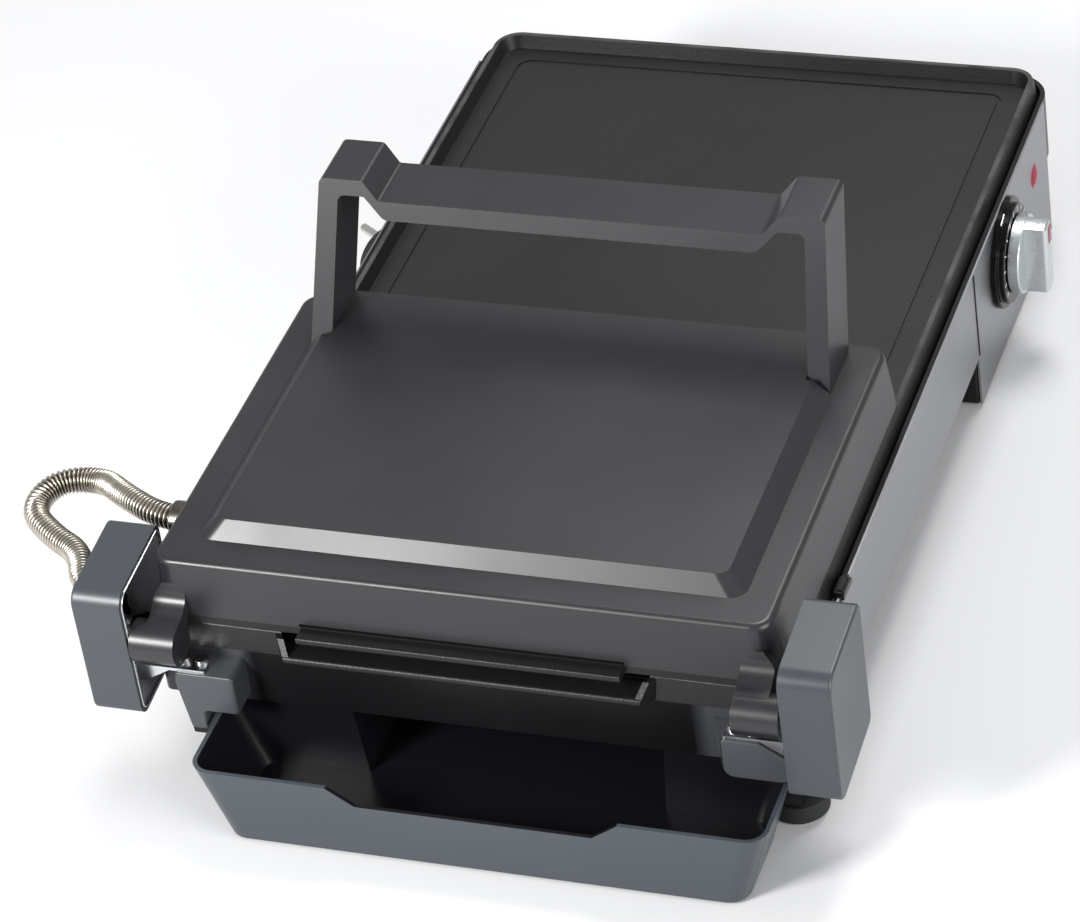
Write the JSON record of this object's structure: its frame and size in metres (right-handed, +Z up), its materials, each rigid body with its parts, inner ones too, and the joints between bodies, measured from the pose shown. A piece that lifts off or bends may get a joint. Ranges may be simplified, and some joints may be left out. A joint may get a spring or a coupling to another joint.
{
  "type": "electric table grill",
  "caption": "Long electric griddle on a low body with a hinged ribbed contact lid, arched handle, drip tray, side heat knob and metal conduit.",
  "frame": {"origin": "middle of the body's footprint on the table, without the cord and the conduit", "axes": "+X from the hinge end to the open end of the griddle, -Y is the knob side, +Z up"},
  "size_m": [0.6457, 0.42, 0.1985],
  "materials": {
    "body_plastic": "fine matte black moulding",
    "zinc_sheet": "plain zinc-plated sheet",
    "bright_sheet": "bright pressed sheet",
    "griddle_coating": "speckled dark non-stick coating on die-cast aluminium",
    "element_steel": "dull sheathed rod",
    "brushed_panel": "long-grain brushed silver sheet",
    "cover_plastic": "satin slate grey moulding",
    "pin_steel": "turned steel",
    "black_plastic": "plain black moulding",
    "bezel_gloss": "gloss black ring",
    "lens_red": "translucent red lens",
    "lamp_glass": "clear neon lamp",
    "foot_rubber": "matte black rubber",
    "conduit_nickel": "warm nickel-plated ribbed hose",
    "cord_rubber": "black flexible rubber",
    "prong_brass": "nickel-plated prongs",
    "lid_plastic": "satin dark grey moulding",
    "handle_plastic": "satin dark grey moulding",
    "tray_plastic": "satin slate grey moulding",
    "knob_silver": "satin silver"
  },
  "bodies": {
    "base": {"base_tub": "body_plastic", "bottom_cover": "zinc_sheet", "tray_rails": "zinc_sheet", "heat_reflector": "bright_sheet", "griddle_plate": "griddle_coating", "lower_element": "element_steel", "side_panel_right": "brushed_panel", "side_panel_left": "brushed_panel", "arm_cover_right": "cover_plastic", "arm_cover_left": "cover_plastic", "hinge_bracket_right": "zinc_sheet", "hinge_bracket_left": "zinc_sheet", "hinge_pin_right": "pin_steel", "hinge_pin_left": "pin_steel", "hinge_spacer_right": "pin_steel", "hinge_spacer_left": "pin_steel", "bracket_screws": "pin_steel", "thermostat_body": "black_plastic", "control_bezel": "bezel_gloss", "indicator_lens": "lens_red", "indicator_lamp": "lamp_glass", "terminal_block": "black_plastic", "rubber_feet": "foot_rubber", "conduit": "conduit_nickel", "conduit_nut_cover": "conduit_nickel", "cord_bushing": "cord_rubber", "cord": "cord_rubber", "plug_body": "cord_rubber", "plug_prongs": "prong_brass"},
    "lid": {"lid_shell": "lid_plastic", "lid_pan": "bright_sheet", "upper_plate": "griddle_coating", "upper_element": "element_steel", "plate_screws": "pin_steel", "handle": "handle_plastic", "handle_screws": "pin_steel", "conduit_nut_lid": "conduit_nickel"},
    "tray": {"drip_tray": "tray_plastic"},
    "knob": {"thermostat_shaft": "pin_steel", "control_knob": "knob_silver"}
  },
  "joints": [
    {"name": "lid_hinge", "type": "hinge", "parent": "base", "child": "lid", "pos_m": [-0.24915, 0, 0.086], "axis": [0, -1, 0], "range_deg": [0, 100], "deforming": ["conduit"]},
    {"name": "tray_slide", "type": "slide", "parent": "base", "child": "tray", "axis": [-1, 0, 0], "range_m": [0, 0.085]},
    {"name": "knob_turn", "type": "hinge", "parent": "base", "child": "knob", "pos_m": [0.14585, -0.16, 0.053], "axis": [0, 1, 0], "range_deg": [0, 240]}
  ]
}
